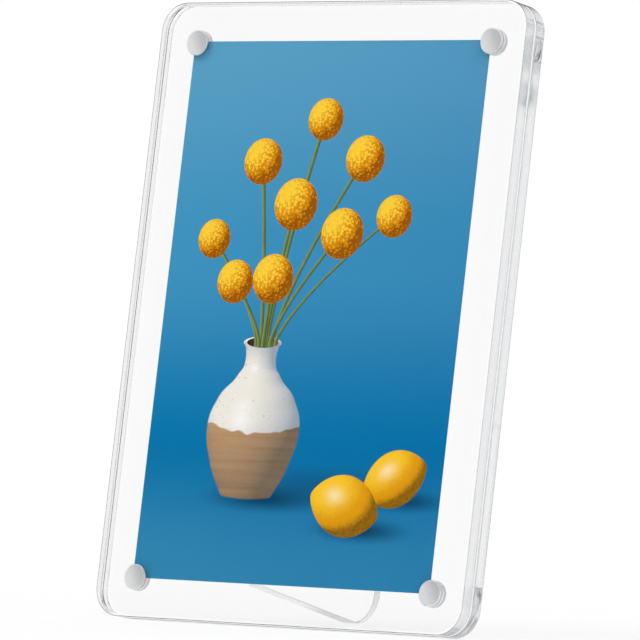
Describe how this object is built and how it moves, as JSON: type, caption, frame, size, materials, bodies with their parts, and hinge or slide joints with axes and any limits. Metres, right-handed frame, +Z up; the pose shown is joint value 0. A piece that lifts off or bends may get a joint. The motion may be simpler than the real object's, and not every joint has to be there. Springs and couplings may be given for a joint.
{
  "type": "magnetic photo frame",
  "caption": "Frameless magnetic photo frame: clear acrylic panels held together by corner disc magnets round a print, leaning back on a plug-in acrylic leg.",
  "frame": {"origin": "bottom centre of the bounding box, on the surface the frame stands on", "axes": "+Z up, the print faces -Y, +X to the viewer's right"},
  "size_m": [0.1252, 0.0682, 0.1738],
  "materials": {
    "clear_acrylic": "clear cast acrylic, flame-polished edges",
    "nickel_plate": "nickel plating, bright",
    "print_paper": "semi-gloss photo paper"
  },
  "bodies": {
    "rear": {"rear_panel": "clear_acrylic", "rear_magnet_top_left": "nickel_plate", "rear_magnet_top_right": "nickel_plate", "rear_magnet_bottom_left": "nickel_plate", "rear_magnet_bottom_right": "nickel_plate"},
    "front": {"front_panel": "clear_acrylic", "front_magnet_top_left": "nickel_plate", "front_magnet_top_right": "nickel_plate", "front_magnet_bottom_left": "nickel_plate", "front_magnet_bottom_right": "nickel_plate"},
    "print": {"photo_print": "print_paper"},
    "leg": {"support_leg": "clear_acrylic"}
  },
  "joints": [
    {"name": "front_panel_lift", "type": "slide", "parent": "rear", "child": "front", "axis": [0, -0.9903, 0.1392], "range_m": [0, 0.04]},
    {"name": "print_slide", "type": "slide", "parent": "rear", "child": "print", "axis": [0, 0.1392, 0.9903], "range_m": [0, 0.165]},
    {"name": "leg_pull", "type": "slide", "parent": "rear", "child": "leg", "axis": [0, 0.9903, -0.1392], "range_m": [0, 0.025]}
  ]
}
